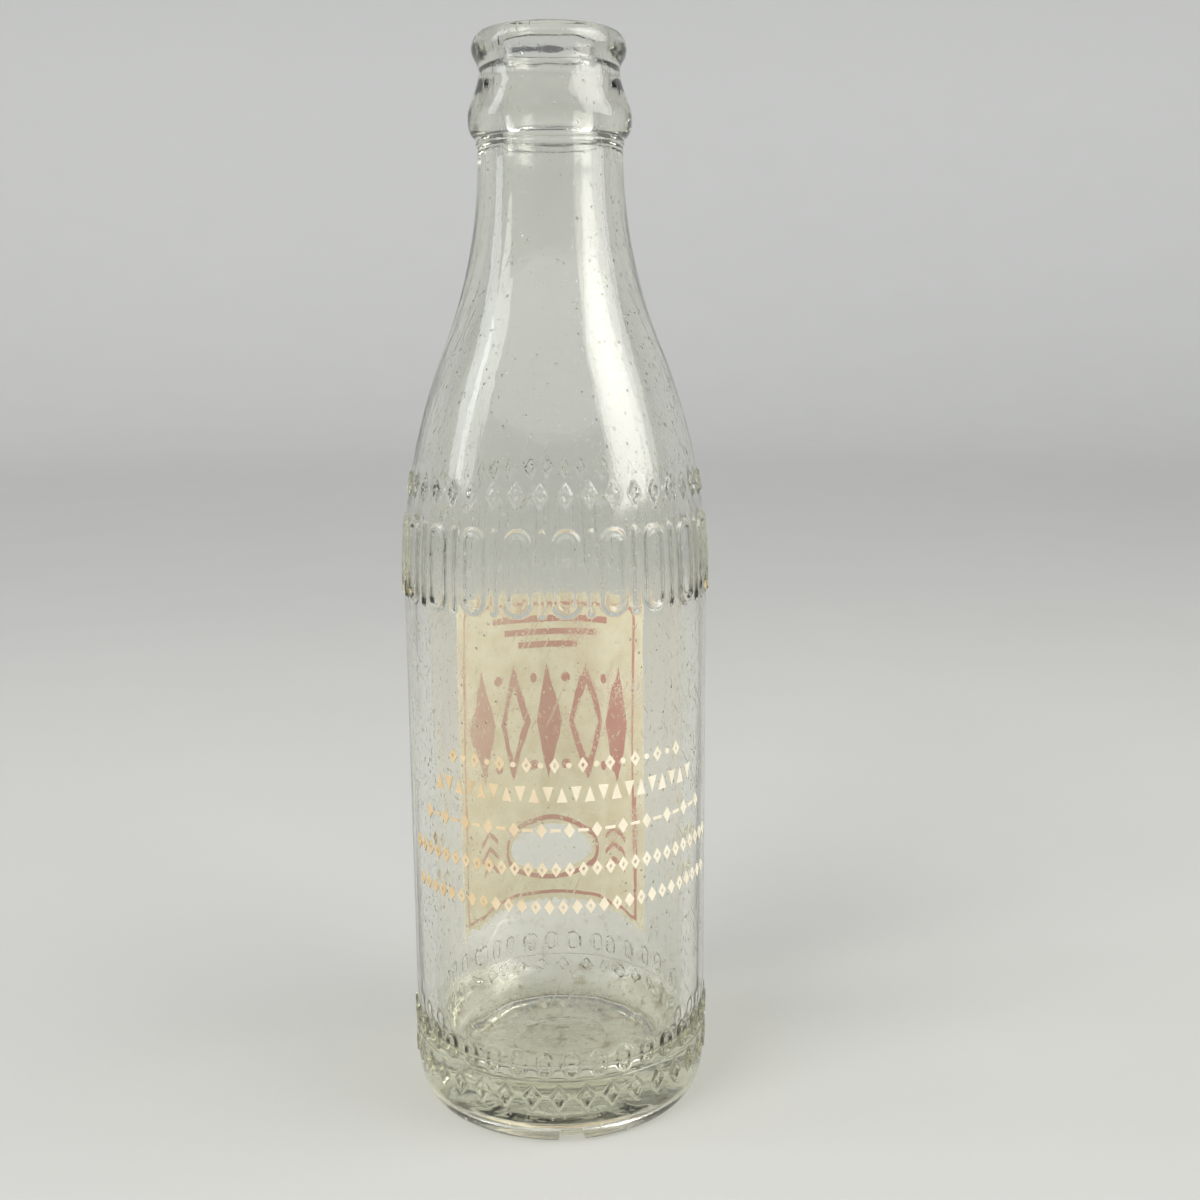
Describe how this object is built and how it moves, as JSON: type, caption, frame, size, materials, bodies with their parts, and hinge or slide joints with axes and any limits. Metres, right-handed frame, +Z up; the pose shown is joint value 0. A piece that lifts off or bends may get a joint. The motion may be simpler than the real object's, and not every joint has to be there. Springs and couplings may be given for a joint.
{
  "type": "soda bottle",
  "caption": "Returnable crown-finish soda bottle of clear moulded glass with raised bands, a registration notch and fired enamel label and print.",
  "frame": {"origin": "middle of the bearing ring, in the plane the bottle stands on", "axes": "+Z up along the bottle's axis; -Y is the front, with the printed rows and the registration notch; +Y is the label side"},
  "size_m": [0.0554, 0.0554, 0.1907],
  "materials": {
    "bottle_glass": "clear moulded soda-lime glass with a faint green cast",
    "cream_enamel": "fired cream enamel, satin",
    "red_enamel": "fired red enamel, satin",
    "print_enamel": "fired cream-white enamel, satin"
  },
  "bodies": {
    "root": {"glass_bottle": "bottle_glass", "label_ground": "cream_enamel", "label_frame": "red_enamel", "label_stripes": "red_enamel", "label_lozenges": "red_enamel", "label_dots": "red_enamel", "label_window_rim": "red_enamel", "label_chevrons": "red_enamel", "print_row_1": "print_enamel", "print_row_2": "print_enamel", "print_row_3": "print_enamel", "print_row_4": "print_enamel", "print_row_5": "print_enamel"}
  },
  "joints": []
}
